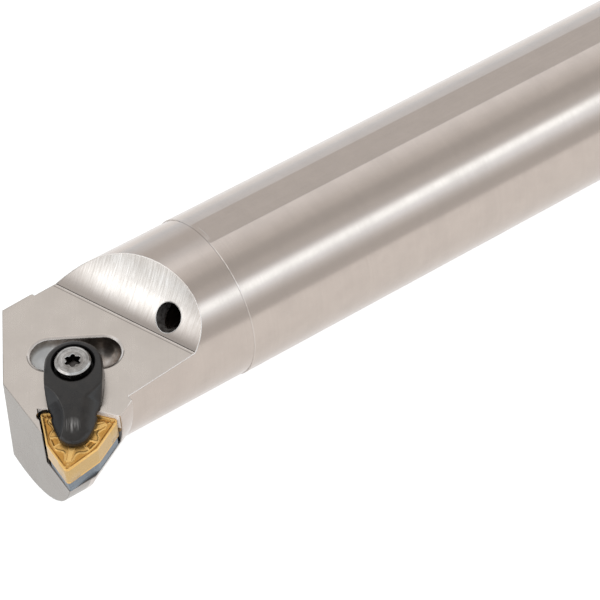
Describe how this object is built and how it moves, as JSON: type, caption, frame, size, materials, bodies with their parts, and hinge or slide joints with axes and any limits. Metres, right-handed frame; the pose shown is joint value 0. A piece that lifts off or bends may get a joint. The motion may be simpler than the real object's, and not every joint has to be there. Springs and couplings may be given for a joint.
{
  "type": "boring bar",
  "caption": "Long round steel bar for turning holes, with an offset head that clamps a trigon insert and a coolant bore to an outlet by the cutting edge.",
  "frame": {"origin": "on the bar axis at the front end of the full diameter shank", "axes": "+X along the shank to its rear end, +Z out of the top clamping flat on the rake face side, and the cutting point is to -X and -Y"},
  "size_m": [0.3556, 0.0446, 0.0408],
  "materials": {
    "satin_nickel_steel": "satin nickel coat",
    "grey_carbide": "ground",
    "gold_coated_carbide": "gold vapour coat, satin",
    "black_steel": "black oxide, satin",
    "bright_steel": "turned, bright",
    "spring_steel": "drawn wire"
  },
  "bodies": {
    "bar": {"bar": "satin_nickel_steel", "shim": "grey_carbide", "shim_screw": "bright_steel", "insert": "gold_coated_carbide", "clamp_spring": "spring_steel"},
    "clamp": {"clamp": "black_steel"},
    "clamp_screw": {"clamp_screw": "bright_steel"}
  },
  "joints": [
    {"name": "clamp_lift", "type": "slide", "parent": "bar", "child": "clamp", "axis": [-0.0872, -0.0868, 0.9924], "range_m": [0, 0.0032], "deforming": ["clamp_spring"]},
    {"name": "screw_turn", "type": "hinge", "parent": "clamp", "child": "clamp_screw", "pos_m": [-0.03848, -0.00648, 0.00301], "axis": [-0.0872, -0.0868, 0.9924], "range_deg": [0, 1440]}
  ],
  "couplings": [
    {"joint": "screw_turn", "follows": "clamp_lift", "rad_per_m": 7854}
  ]
}
